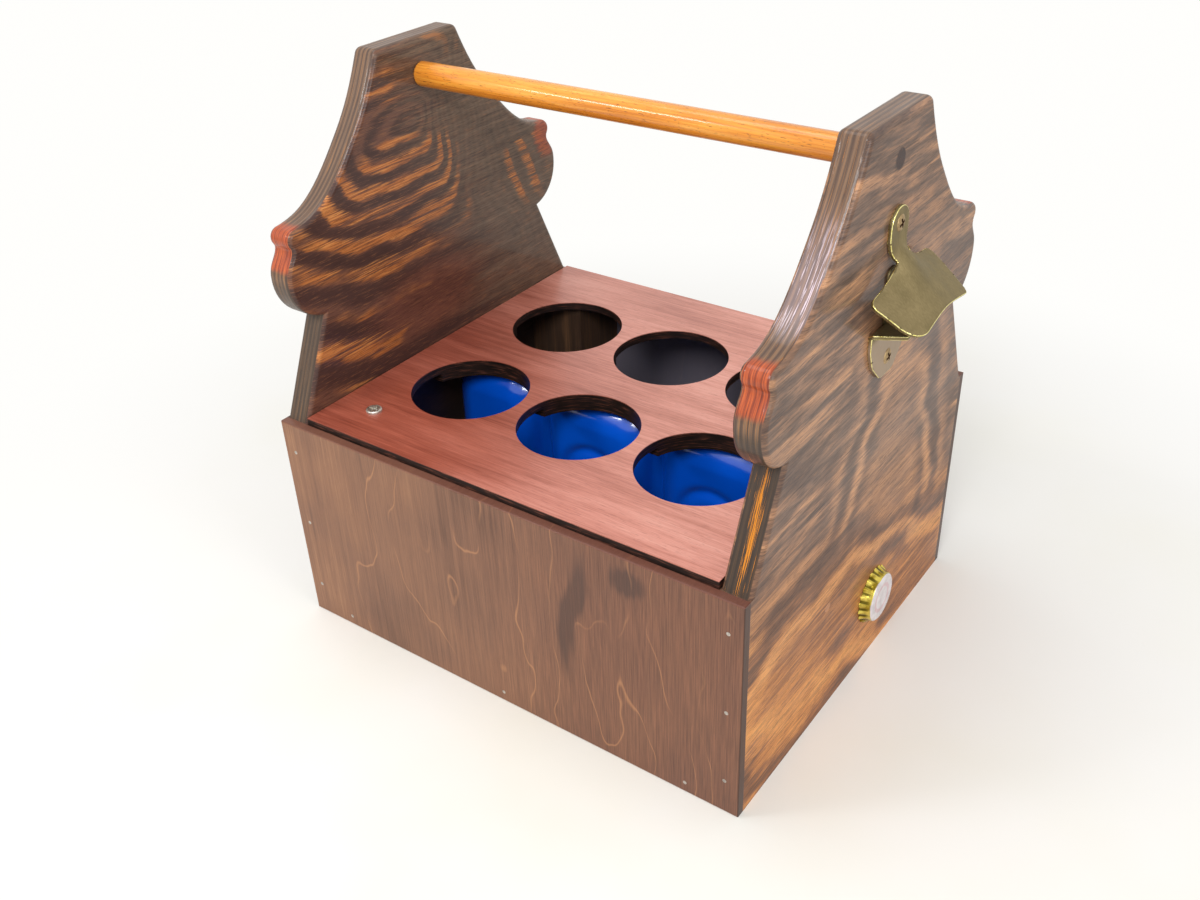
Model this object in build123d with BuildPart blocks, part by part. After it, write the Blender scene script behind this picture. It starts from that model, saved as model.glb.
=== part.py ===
from build123d import *
import os
from math import cos, pi, sin

# A six-bottle caddy of stained plywood: a box between two tall scrolled end
# panels, a round handle bar, a drop-in board with six bottle holes, a cold
# pack that stands between the rows, a wall-type opener and a crown cap that a
# hidden magnet holds. Sizes are millimetres. The origin is the middle of the
# flat underside, +X runs along the handle towards the opener, +Y to the back.

os.makedirs("parts", exist_ok=True)

# Bottle holes, which set the size of the box
hole_diameter = 63.5
hole_columns = 3
hole_rows = 2
column_gap = 7.9
row_gap = 22.5
end_margin = 20.65
side_margin = 37.75
hole_pitch = hole_diameter + column_gap
row_spacing = hole_diameter + row_gap

# Box
end_thickness = 15.0
panel_thickness = 4.8
panel_height = 124.9
panel_edge_round = 0.8
bottom_thickness = 12.0
inner_length = hole_columns * hole_pitch - column_gap + 2 * end_margin
inner_depth = hole_rows * row_spacing - row_gap + 2 * side_margin
inner_x = inner_length / 2
inner_y = inner_depth / 2
outer_x = inner_x + end_thickness
outer_y = inner_y + panel_thickness
sides = (("left", -1), ("right", 1))
faces = (("front", -1), ("back", 1))

# End panel: the scroll above the box, as shares of half the depth and of the rise
panel_top = 296.5
top_half_width = 30.0
top_corner_round_share = 0.0233
waist_round_share = 0.0175
edge_round_share = 0.0175
waist_shares = (0.787, 0.306)
beak_heel_shares = (0.914, 0.362)
beak_belly_shares = (0.951, 0.429)
beak_swell_shares = (0.936, 0.49)
beak_notch_shares = (0.905, 0.544)
beak_tip_shares = (0.909, 0.577)
beak_shoulder_shares = (0.873, 0.593)
sweep_foot_shares = (0.751, 0.6125)
sweep_belly_shares = (0.498, 0.756)
sweep_end_direction = (-0.4, 0.9)
scroll_rise = panel_top - panel_height
top_corner_round = scroll_rise * top_corner_round_share
waist_round = scroll_rise * waist_round_share
edge_round = scroll_rise * edge_round_share

# Handle bar, its hidden screws and the filler plugs over them
handle_diameter = 12.7
handle_drop = 18.4
handle_end_round = 1.6
handle_screw_length = 40.0
handle_screw_shank = 4.2
handle_screw_head = 8.0
handle_screw_head_height = 2.6
plug_diameter = 9.0
plug_thickness = 3.0
handle_height = panel_top - handle_drop

# Screws in general
screw_clearance = 0.1
screw_tip_share = 0.25
recess_width_share = 0.16
recess_length_share = 0.6
recess_depth_share = 0.6

# Bottle board, with the strip glued under its middle
board_thickness = 4.8
board_rise = 3.8
board_gap = 0.5
strip_width = 66.0
strip_thickness = 4.8
board_length = inner_length - 2 * board_gap
board_depth = inner_depth - 2 * board_gap
board_top = panel_height + board_rise
board_underside = board_top - board_thickness
strip_underside = board_underside - strip_thickness

# Corner blocks that carry the board, and the two screws through it
block_size = 38.0
block_height = 40.0
board_screw_inset = 24.7
board_screw_head = 8.4
board_screw_head_height = 1.5
board_screw_shank = 4.0
board_screw_length = 24.0
head_dome_share = 0.5
board_screw_x = inner_x - board_screw_inset
board_screw_y = inner_y - board_screw_inset
corners = (("front_left", -1, -1), ("front_right", 1, -1), ("back_left", -1, 1), ("back_right", 1, 1))
screwed_corners = (("front", -1, -1), ("back", 1, 1))

# Brads through the front and back panels: a column at each end and a low row
brad_height_shares = (0.16, 0.5, 0.863)
brad_row_shares = (-1.0, 0.0, 1.0)
brad_row_inset = 13.8
brad_length = 25.0
brad_shank = 1.2
brad_head = 2.0
brad_head_height = 0.6
brad_clearance = 0.04
brad_column_x = inner_x + end_thickness / 2
brad_places = [(share * (inner_x - brad_row_inset), bottom_thickness / 2) for share in brad_row_shares]
for _, side in sides:
    for height_share in brad_height_shares:
        brad_places.append((side * brad_column_x, panel_height * height_share))

# Cold pack, standing on the bottom board between the two rows
pack_thickness = 22.0
pack_end_gap = 6.3
pack_headroom = 0.9
pack_corner_round = 12.0
pack_edge_round = 7.0
filler_diameter = 15.0
filler_height = 2.4
filler_drop = 30.0
filler_round_share = 0.3
pack_length = inner_length - 2 * pack_end_gap
pack_top = strip_underside - pack_headroom
pack_height = pack_top - bottom_thickness

# Opener on the right end panel: a plate with an ear above and a shield below
opener_offset = 2.4
opener_drop = 38.9
opener_height = 79.1
opener_sheet = 1.8
ear_width = 18.0
ear_round_share = 0.48
top_screw_drop = 7.5
bottom_screw_rise = 8.8
shield_width = 38.0
shield_shoulder_rise = 18.0
shield_foot_width = 13.0
shield_foot_round = 5.0
opener_screw_head = 7.6
opener_screw_head_height = 1.5
opener_screw_shank = 3.6
opener_screw_length = 14.0
opener_top = panel_top - opener_drop
opener_bottom = opener_top - opener_height
opener_screws = (("top", opener_top - top_screw_drop), ("bottom", opener_bottom + bottom_screw_rise))

# Hood of the opener, a domed sheet that flattens towards its lip, and the catch
# shelf under it; each section has its share of the reach, and its crown's and
# its sides' shares of the hood's height at the wall
hood_reach = 25.7
hood_root_rise = 63.0
hood_root_width = 44.6
hood_lip_width = 52.2
hood_lip_round = 6.5
hood_wing_round = 3.5
hood_neck_reach = 6.1
hood_wing_gap = 1.0
hood_trim = 0.3
hood_section_shares = (
    (0.0, 1.0, 0.705),
    (0.23, 0.97, 0.654),
    (0.47, 0.935, 0.617),
    (0.7, 0.854, 0.59),
    (1.0, 0.603, 0.563),
)
shelf_rise = 27.0
shelf_reach = 15.0
shelf_tip_width = 24.0
tooth_width = 9.0
tooth_height = 3.2
shelf_level = opener_bottom + shelf_rise

# Crown cap, its liner and the magnet let into the panel behind it
cap_y = 18.3
cap_level = 40.2
cap_depth = 6.0
cap_face_radius = 13.4
cap_rim_radius = 15.5
cap_flute_depth = 0.5
cap_flutes = 21
cap_sheet = 0.6
cap_face_round = 1.6
cap_neck_share = 0.42
neck_flute_share = 0.1
face_flute_share = 0.01
liner_radius = 12.0
liner_thickness = 0.8
magnet_diameter = 12.0
magnet_thickness = 3.0
magnet_skin = 2.0
magnet_clearance = 0.1
cap_neck_x = outer_x + cap_depth * (1 - cap_neck_share)
cap_neck_radius = (cap_face_radius + cap_rim_radius) / 2 - cap_sheet


def scroll_point(shares):
    """A point of the end panel's outline, above the box and on the back half."""
    return (inner_y * shares[0], panel_height + scroll_rise * shares[1])


def draw_scroll():
    """The scrolled part of an end panel above the box, mirrored about its middle."""
    waist = scroll_point(waist_shares)
    belly = scroll_point(beak_belly_shares)
    notch = scroll_point(beak_notch_shares)
    shoulder = scroll_point(beak_shoulder_shares)
    top_corner = (top_half_width, panel_top)
    with BuildLine() as outline:
        Polyline((0, panel_height), (inner_y, panel_height), waist)
        heel = ThreePointArc(waist, scroll_point(beak_heel_shares), belly)
        tip = ThreePointArc(notch, scroll_point(beak_tip_shares), shoulder)
        Spline(belly, scroll_point(beak_swell_shares), notch, tangents=[heel % 1, tip % 0])
        sweep_foot = scroll_point(sweep_foot_shares)
        sweep_belly = scroll_point(sweep_belly_shares)
        Spline(shoulder, sweep_foot, sweep_belly, top_corner, tangents=[tip % 1, sweep_end_direction])
        Line(top_corner, (0, panel_top))
        mirror(outline.line, about=Plane.YZ)
    scroll = make_face(outline.line)
    fillet(scroll.vertices().group_by(Axis.Y)[-1], radius=top_corner_round)
    waist_corners = scroll.vertices().filter_by(lambda corner: abs(corner.Y - waist[1]) < waist_round)
    fillet(waist_corners, radius=waist_round)


def cut_brad_holes(face):
    """Holes for every brad driven in from the front (-1) or back (1) face."""
    with BuildSketch(Plane.XZ.offset(-face * outer_y)) as shanks:
        with Locations(*brad_places):
            Circle(brad_shank / 2 + brad_clearance)
    extrude(shanks.sketch, amount=face * (brad_length + brad_clearance), mode=Mode.SUBTRACT)
    with BuildSketch(Plane.XZ.offset(-face * outer_y)) as heads:
        with Locations(*brad_places):
            Circle(brad_head / 2 + brad_clearance)
    extrude(heads.sketch, amount=face * (brad_head_height + brad_clearance), mode=Mode.SUBTRACT)


def draw_cross(head):
    """The cross-shaped driver recess of a screw head of the given diameter."""
    Rectangle(head * recess_length_share, head * recess_width_share)
    Rectangle(head * recess_width_share, head * recess_length_share)


def countersunk_screw(seat, head, head_height, shank, length):
    """A screw whose flat head top lies in the seat plane, driven against its normal."""
    with BuildPart() as screw:
        with BuildSketch(seat):
            Circle(head / 2)
        with BuildSketch(seat.offset(-head_height)):
            Circle(shank / 2)
        loft()
        with BuildSketch(seat.offset(-head_height)):
            Circle(shank / 2)
        extrude(amount=-(length - head_height - shank))
        with BuildSketch(seat.offset(shank - length)):
            Circle(shank / 2)
        with BuildSketch(seat.offset(-length)):
            Circle(shank / 2 * screw_tip_share)
        loft()
        with BuildSketch(seat):
            draw_cross(head)
        extrude(amount=-head_height * recess_depth_share, mode=Mode.SUBTRACT)
    return screw.part


def cut_countersunk_seat(seat, head, head_height, shank, length):
    """The hole that a countersunk screw of the same sizes sits in."""
    with BuildSketch(seat) as mouth:
        Circle(head / 2 + screw_clearance)
    with BuildSketch(seat.offset(-head_height)) as neck:
        Circle(shank / 2 + screw_clearance)
    loft([mouth.sketch, neck.sketch], mode=Mode.SUBTRACT)
    with BuildSketch(seat) as bore:
        Circle(shank / 2 + screw_clearance)
    extrude(bore.sketch, amount=-(length + screw_clearance), mode=Mode.SUBTRACT)


def wall_plane(side, y, z, depth=0.0):
    """A plane on an end panel's outer face, sunk by a depth, its normal outwards."""
    return Plane(origin=(side * (outer_x - depth), y, z), x_dir=(0, side, 0), z_dir=(side, 0, 0))


def handle_screw_seat(side):
    return wall_plane(side, 0, handle_height, depth=plug_thickness)


def opener_screw_seat(height):
    return wall_plane(1, opener_offset, height, depth=-opener_sheet)


def opener_level(height):
    """A level plane whose origin is on the wall, in the opener's middle plane."""
    return Plane(origin=(outer_x, opener_offset, height))


def draw_fluted_circle(radius, flute):
    """A closed curve with one swell for each flute of the crimped skirt."""
    points = []
    for index in range(2 * cap_flutes):
        turn = pi * index / cap_flutes
        reach = radius + flute * (-1) ** index
        points.append((cap_y + reach * cos(turn), cap_level + reach * sin(turn)))
    with BuildLine() as rim:
        Spline(*points, periodic=True)
    make_face(rim.line)


# End panels
for side_name, side in sides:
    with BuildPart() as end_panel:
        with BuildSketch(Plane.YZ.offset(side * inner_x)):
            draw_scroll()
        extrude(amount=side * end_thickness)
        broad_faces = end_panel.faces().filter_by(Axis.X)
        foot_edges = end_panel.edges().group_by(Axis.Z)[0]
        fillet(broad_faces.edges() - foot_edges, radius=edge_round)
        with BuildSketch(Plane.YZ.offset(side * inner_x)):
            with Locations((0, panel_height / 2)):
                Rectangle(inner_depth, panel_height)
        extrude(amount=side * end_thickness)
        with BuildSketch(wall_plane(side, 0, handle_height)):
            Circle(plug_diameter / 2)
        extrude(amount=-plug_thickness, mode=Mode.SUBTRACT)
        cut_countersunk_seat(handle_screw_seat(side), handle_screw_head, handle_screw_head_height,
                             handle_screw_shank, handle_screw_length)
        for _, face in faces:
            cut_brad_holes(face)
        if side > 0:
            for _, height in opener_screws:
                cut_countersunk_seat(opener_screw_seat(height), opener_screw_head, opener_screw_head_height,
                                     opener_screw_shank, opener_screw_length)
            with BuildSketch(Plane.YZ.offset(inner_x)):
                with Locations((cap_y, cap_level)):
                    Circle(magnet_diameter / 2 + magnet_clearance)
            extrude(amount=end_thickness - magnet_skin, mode=Mode.SUBTRACT)
    end_panel.part.label = f"end_panel_{side_name}"
    export_step(end_panel.part, f"parts/end_panel_{side_name}.step")

# Front and back panels
for face_name, face in faces:
    with BuildPart() as panel:
        with BuildSketch(Plane.XZ.offset(-face * outer_y)):
            with Locations((0, panel_height / 2)):
                Rectangle(2 * outer_x, panel_height)
        extrude(amount=face * panel_thickness)
        outer_face = panel.faces().sort_by(Axis.Y)[0 if face < 0 else -1]
        fillet(outer_face.edges(), radius=panel_edge_round)
        cut_brad_holes(face)
    panel.part.label = f"{face_name}_panel"
    export_step(panel.part, f"parts/{face_name}_panel.step")

# Bottom board
with BuildPart() as bottom_board:
    with BuildSketch(Plane.XY):
        Rectangle(inner_length, inner_depth)
    extrude(amount=bottom_thickness)
    for _, face in faces:
        cut_brad_holes(face)
bottom_board.part.label = "bottom_board"
export_step(bottom_board.part, "parts/bottom_board.step")

# Corner blocks
for corner_name, side, face in corners:
    with BuildPart() as block:
        with BuildSketch(Plane.XY.offset(board_underside)):
            with Locations((side * (inner_x - block_size / 2), face * (inner_y - block_size / 2))):
                Rectangle(block_size, block_size)
        extrude(amount=-block_height)
        if side == face:
            with BuildSketch(Plane.XY.offset(board_underside)):
                with Locations((side * board_screw_x, face * board_screw_y)):
                    Circle(board_screw_shank / 2 + screw_clearance)
            extrude(amount=-(board_screw_length + screw_clearance), mode=Mode.SUBTRACT)
    block.part.label = f"corner_block_{corner_name}"
    export_step(block.part, f"parts/corner_block_{corner_name}.step")

# Bottle board and the strip under it
with BuildPart() as top_board:
    with BuildSketch(Plane.XY.offset(board_underside)):
        Rectangle(board_length, board_depth)
        with GridLocations(hole_pitch, row_spacing, hole_columns, hole_rows):
            Circle(hole_diameter / 2, mode=Mode.SUBTRACT)
        with Locations(*[(side * board_screw_x, face * board_screw_y) for _, side, face in screwed_corners]):
            Circle(board_screw_shank / 2 + screw_clearance, mode=Mode.SUBTRACT)
    extrude(amount=board_thickness)
top_board.part.label = "top_board"
export_step(top_board.part, "parts/top_board.step")

with BuildPart() as board_strip:
    with BuildSketch(Plane.XY.offset(strip_underside)):
        Rectangle(board_length, strip_width)
        with GridLocations(hole_pitch, row_spacing, hole_columns, hole_rows):
            Circle(hole_diameter / 2, mode=Mode.SUBTRACT)
    extrude(amount=strip_thickness)
board_strip.part.label = "board_strip"
export_step(board_strip.part, "parts/board_strip.step")

# Board screws, low domed heads on top of the board
for screw_name, side, face in screwed_corners:
    screw_seat = Plane.XY.offset(board_top).move(Location((side * board_screw_x, face * board_screw_y, 0)))
    with BuildPart() as board_screw:
        with BuildSketch(screw_seat):
            Circle(board_screw_head / 2)
        extrude(amount=board_screw_head_height)
        fillet(board_screw.edges().group_by(Axis.Z)[-1], radius=board_screw_head_height * head_dome_share)
        with BuildSketch(screw_seat):
            Circle(board_screw_shank / 2)
        extrude(amount=-board_screw_length)
        fillet(board_screw.edges().group_by(Axis.Z)[0], radius=board_screw_shank * screw_tip_share)
        with BuildSketch(screw_seat.offset(board_screw_head_height)):
            draw_cross(board_screw_head)
        extrude(amount=-board_screw_head_height * recess_depth_share, mode=Mode.SUBTRACT)
    board_screw.part.label = f"board_screw_{screw_name}"
    export_step(board_screw.part, f"parts/board_screw_{screw_name}.step")

# Handle bar
with BuildPart() as handle_bar:
    with BuildSketch(Plane.YZ.offset(-inner_x)):
        with Locations((0, handle_height)):
            Circle(handle_diameter / 2)
    extrude(amount=inner_length)
    fillet(handle_bar.edges(), radius=handle_end_round)
    for _, side in sides:
        cut_countersunk_seat(handle_screw_seat(side), handle_screw_head, handle_screw_head_height,
                             handle_screw_shank, handle_screw_length)
handle_bar.part.label = "handle_bar"
export_step(handle_bar.part, "parts/handle_bar.step")

# Handle screws and the filler plugs over them
for side_name, side in sides:
    handle_screw = countersunk_screw(handle_screw_seat(side), handle_screw_head, handle_screw_head_height,
                                     handle_screw_shank, handle_screw_length)
    handle_screw.label = f"handle_screw_{side_name}"
    export_step(handle_screw, f"parts/handle_screw_{side_name}.step")
    with BuildPart() as handle_plug:
        with BuildSketch(wall_plane(side, 0, handle_height)):
            Circle(plug_diameter / 2)
        extrude(amount=-plug_thickness)
    handle_plug.part.label = f"handle_plug_{side_name}"
    export_step(handle_plug.part, f"parts/handle_plug_{side_name}.step")

# Brads
for face_name, face in faces:
    with BuildPart() as brads:
        with BuildSketch(Plane.XZ.offset(-face * outer_y)):
            with Locations(*brad_places):
                Circle(brad_shank / 2)
        extrude(amount=face * brad_length)
        with BuildSketch(Plane.XZ.offset(-face * outer_y)):
            with Locations(*brad_places):
                Circle(brad_head / 2)
        extrude(amount=face * brad_head_height)
    brads.part.label = f"{face_name}_brads"
    export_step(brads.part, f"parts/{face_name}_brads.step")

# Cold pack and its filler cap
with BuildPart() as cold_pack:
    with BuildSketch(Plane.XZ.offset(-pack_thickness / 2)):
        with Locations((0, bottom_thickness + pack_height / 2)):
            RectangleRounded(pack_length, pack_height, pack_corner_round)
    extrude(amount=pack_thickness)
    fillet(cold_pack.faces().filter_by(Axis.Y).edges(), radius=pack_edge_round)
cold_pack.part.label = "cold_pack"
export_step(cold_pack.part, "parts/cold_pack.step")

with BuildPart() as pack_filler_cap:
    with BuildSketch(Plane.YZ.offset(pack_length / 2)):
        with Locations((0, pack_top - filler_drop)):
            Circle(filler_diameter / 2)
    extrude(amount=filler_height)
    fillet(pack_filler_cap.edges().group_by(Axis.X)[-1], radius=filler_height * filler_round_share)
pack_filler_cap.part.label = "pack_filler_cap"
export_step(pack_filler_cap.part, "parts/pack_filler_cap.step")

# Hood of the opener: sections lofted outwards, then trimmed to their plan
with BuildPart() as hood:
    for reach_share, crown_share, side_share in hood_section_shares:
        half_width = (hood_root_width + (hood_lip_width - hood_root_width) * reach_share) / 2
        crown = opener_bottom + hood_root_rise * crown_share
        arch = hood_root_rise * (crown_share - side_share)
        radius = (half_width ** 2 + arch ** 2) / (2 * arch)
        inside_share = 1 - opener_sheet / radius
        inside_half = half_width * inside_share
        inside_arch = radius + (arch - radius) * inside_share
        with BuildSketch(wall_plane(1, opener_offset, crown, depth=-hood_reach * reach_share)):
            with BuildLine():
                ThreePointArc((-half_width, -arch), (0, 0), (half_width, -arch))
                Line((half_width, -arch), (inside_half, -inside_arch))
                ThreePointArc((inside_half, -inside_arch), (0, -opener_sheet), (-inside_half, -inside_arch))
                Line((-inside_half, -inside_arch), (-half_width, -arch))
            make_face()
    loft()
    with BuildSketch(opener_level(opener_bottom)):
        with BuildLine() as half_plan:
            Polyline(
                (0, 0),
                (0, ear_width / 2),
                (hood_neck_reach, ear_width / 2),
                (hood_wing_gap, hood_root_width / 2 + hood_trim),
                (hood_reach + hood_trim, hood_lip_width / 2 + hood_trim),
                (hood_reach + hood_trim, 0),
            )
            mirror(half_plan.line, about=Plane.XZ)
        plan = make_face()
        fillet(plan.vertices().group_by(Axis.X)[-1], radius=hood_lip_round)
        fillet(plan.vertices().group_by(Axis.X)[1], radius=hood_wing_round)
    extrude(amount=opener_height, mode=Mode.INTERSECT)

# Opener: ear, shield, catch shelf with its tooth, and the hood
with BuildPart() as bottle_opener:
    with BuildSketch(wall_plane(1, opener_offset, opener_bottom)):
        with BuildLine() as half_shield:
            Polyline(
                (0, 0),
                (shield_foot_width / 2, 0),
                (shield_width / 2, shield_shoulder_rise),
                (shield_width / 2, shelf_rise),
                (0, shelf_rise),
            )
            mirror(half_shield.line, about=Plane.YZ)
        shield = make_face()
        fillet(shield.vertices().group_by(Axis.Y)[0], radius=shield_foot_round)
        with Locations((0, (shelf_rise + opener_height) / 2)):
            Rectangle(ear_width, opener_height - shelf_rise)
    extrude(amount=opener_sheet)
    ear_corners = bottle_opener.edges().filter_by(Axis.X).group_by(Axis.Z)[-1]
    fillet(ear_corners, radius=ear_width * ear_round_share)
    add(hood.part)
    with BuildSketch(opener_level(shelf_level)):
        with BuildLine() as half_shelf:
            Polyline(
                (0, 0),
                (0, shield_width / 2),
                (shelf_reach, shelf_tip_width / 2),
                (shelf_reach, 0),
            )
            mirror(half_shelf.line, about=Plane.XZ)
        make_face()
    extrude(amount=-opener_sheet)
    with BuildSketch(opener_level(shelf_level)):
        with Locations((shelf_reach - opener_sheet / 2, 0)):
            Rectangle(opener_sheet, tooth_width)
    extrude(amount=tooth_height)
    for _, height in opener_screws:
        cut_countersunk_seat(opener_screw_seat(height), opener_screw_head, opener_screw_head_height,
                             opener_screw_shank, opener_screw_length)
bottle_opener.part.label = "bottle_opener"
export_step(bottle_opener.part, "parts/bottle_opener.step")

# Opener screws
for screw_name, height in opener_screws:
    opener_screw = countersunk_screw(opener_screw_seat(height), opener_screw_head, opener_screw_head_height,
                                     opener_screw_shank, opener_screw_length)
    opener_screw.label = f"opener_screw_{screw_name}"
    export_step(opener_screw, f"parts/opener_screw_{screw_name}.step")

# Crown cap, open towards the panel
with BuildPart() as crown_cap:
    with BuildSketch(Plane.YZ.offset(outer_x)):
        draw_fluted_circle(cap_rim_radius, cap_flute_depth)
    with BuildSketch(Plane.YZ.offset(cap_neck_x)):
        draw_fluted_circle(cap_neck_radius, cap_flute_depth * neck_flute_share)
    with BuildSketch(Plane.YZ.offset(outer_x + cap_depth)):
        draw_fluted_circle(cap_face_radius, cap_flute_depth * face_flute_share)
    loft(ruled=True)
    fillet(crown_cap.faces().sort_by(Axis.X)[-1].edges(), radius=cap_face_round)
    with BuildSketch(Plane.YZ.offset(outer_x)):
        draw_fluted_circle(cap_rim_radius - cap_sheet, cap_flute_depth)
    with BuildSketch(Plane.YZ.offset(cap_neck_x)):
        draw_fluted_circle(cap_neck_radius - cap_sheet, cap_flute_depth * neck_flute_share)
    loft(ruled=True, mode=Mode.SUBTRACT)
    with BuildSketch(Plane.YZ.offset(cap_neck_x)):
        with Locations((cap_y, cap_level)):
            Circle(liner_radius)
    extrude(amount=outer_x + cap_depth - cap_sheet - cap_neck_x, mode=Mode.SUBTRACT)
crown_cap.part.label = "crown_cap"
export_step(crown_cap.part, "parts/crown_cap.step")

# Liner in the cap
with BuildPart() as cap_liner:
    with BuildSketch(Plane.YZ.offset(outer_x + cap_depth - cap_sheet)):
        with Locations((cap_y, cap_level)):
            Circle(liner_radius)
    extrude(amount=-liner_thickness)
cap_liner.part.label = "cap_liner"
export_step(cap_liner.part, "parts/cap_liner.step")

# Magnet at the bottom of its pocket
with BuildPart() as cap_magnet:
    with BuildSketch(Plane.YZ.offset(outer_x - magnet_skin)):
        with Locations((cap_y, cap_level)):
            Circle(magnet_diameter / 2)
    extrude(amount=-magnet_thickness)
cap_magnet.part.label = "cap_magnet"
export_step(cap_magnet.part, "parts/cap_magnet.step")

# Plug that closes the magnet's pocket, flush with the panel's inner face
with BuildPart() as magnet_plug:
    with BuildSketch(Plane.YZ.offset(inner_x)):
        with Locations((cap_y, cap_level)):
            Circle(magnet_diameter / 2)
    extrude(amount=end_thickness - magnet_skin - magnet_thickness)
magnet_plug.part.label = "magnet_plug"
export_step(magnet_plug.part, "parts/magnet_plug.step")
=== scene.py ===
import bmesh
import bpy
from math import atan2, cos, exp, hypot, pi, radians, sin, tan
from mathutils import Matrix, Vector


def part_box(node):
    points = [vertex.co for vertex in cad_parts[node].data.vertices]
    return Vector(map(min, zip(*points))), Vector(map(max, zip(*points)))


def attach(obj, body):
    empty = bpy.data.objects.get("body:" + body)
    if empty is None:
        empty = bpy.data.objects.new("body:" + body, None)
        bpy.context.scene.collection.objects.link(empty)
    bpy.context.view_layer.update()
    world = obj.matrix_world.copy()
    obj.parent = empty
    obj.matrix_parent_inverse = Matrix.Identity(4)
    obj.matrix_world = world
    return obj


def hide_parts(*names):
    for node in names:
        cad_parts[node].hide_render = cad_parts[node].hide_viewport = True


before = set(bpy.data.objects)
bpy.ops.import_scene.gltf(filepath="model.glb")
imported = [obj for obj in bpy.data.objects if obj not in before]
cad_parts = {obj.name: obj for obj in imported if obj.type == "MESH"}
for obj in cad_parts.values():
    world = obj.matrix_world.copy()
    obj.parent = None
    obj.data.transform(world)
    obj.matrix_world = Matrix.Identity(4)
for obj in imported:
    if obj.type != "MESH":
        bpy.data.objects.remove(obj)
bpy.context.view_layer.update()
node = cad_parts
millimetre = 0.001


# END PANELS
# Two scrolled boards of 15 mm fir plywood, stained dark brown and varnished. The
# stain takes differently in the soft and the hard part of each growth ring, and
# the beaks of the scroll are dipped in a redder stain.
class Value:
    """A number that varies over a surface: Python's operators add Math nodes."""

    def __init__(self, nodes, socket):
        self.nodes = nodes
        self.socket = socket

    def __add__(self, other):
        return maths("ADD", self, other)

    def __sub__(self, other):
        return maths("SUBTRACT", self, other)

    def __rsub__(self, other):
        return maths("SUBTRACT", other, self)

    def __mul__(self, other):
        return maths("MULTIPLY", self, other)

    def __truediv__(self, other):
        return maths("DIVIDE", self, other)

    def __abs__(self):
        return maths("ABSOLUTE", self)

    __radd__ = __add__
    __rmul__ = __mul__


def maths(operation, *values):
    """A Math node on plain numbers and at least one value that varies."""
    nodes = next(value.nodes for value in values if isinstance(value, Value))
    return nodes.add("ShaderNodeMath", {"operation": operation}, dict(enumerate(values)))


def stain(*colour):
    """A colour as a paint card gives it, 0 to 255, made linear."""
    linear = [((part / 255 + 0.055) / 1.055) ** 2.4 if part > 10 else part / 3294 for part in colour]
    return (*linear, 1)


class Nodes:
    """A tree of nodes, and the one method that adds a node to it."""

    def __init__(self, tree):
        self.tree = tree

    def add(self, kind, settings=None, inputs=None, output=0):
        made = self.tree.nodes.new(kind)
        for name, value in (settings or {}).items():
            if name == "stops":
                set_stops(made.color_ramp.elements, value)
            else:
                setattr(made, name, value)
        for name, value in (inputs or {}).items():
            if isinstance(value, Value):
                self.link(value, made.inputs[name])
            else:
                made.inputs[name].default_value = value
        return Value(self, made.outputs[output])

    def link(self, value, socket):
        self.tree.links.new(value.socket, socket)


def set_stops(elements, stops):
    """Gives a colour ramp its stops, each a position and a colour, from low to high."""
    elements.remove(elements[-1])
    elements[0].position, elements[0].color = stops[0]
    for position, colour in stops[1:]:
        elements.new(position).color = colour


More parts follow.
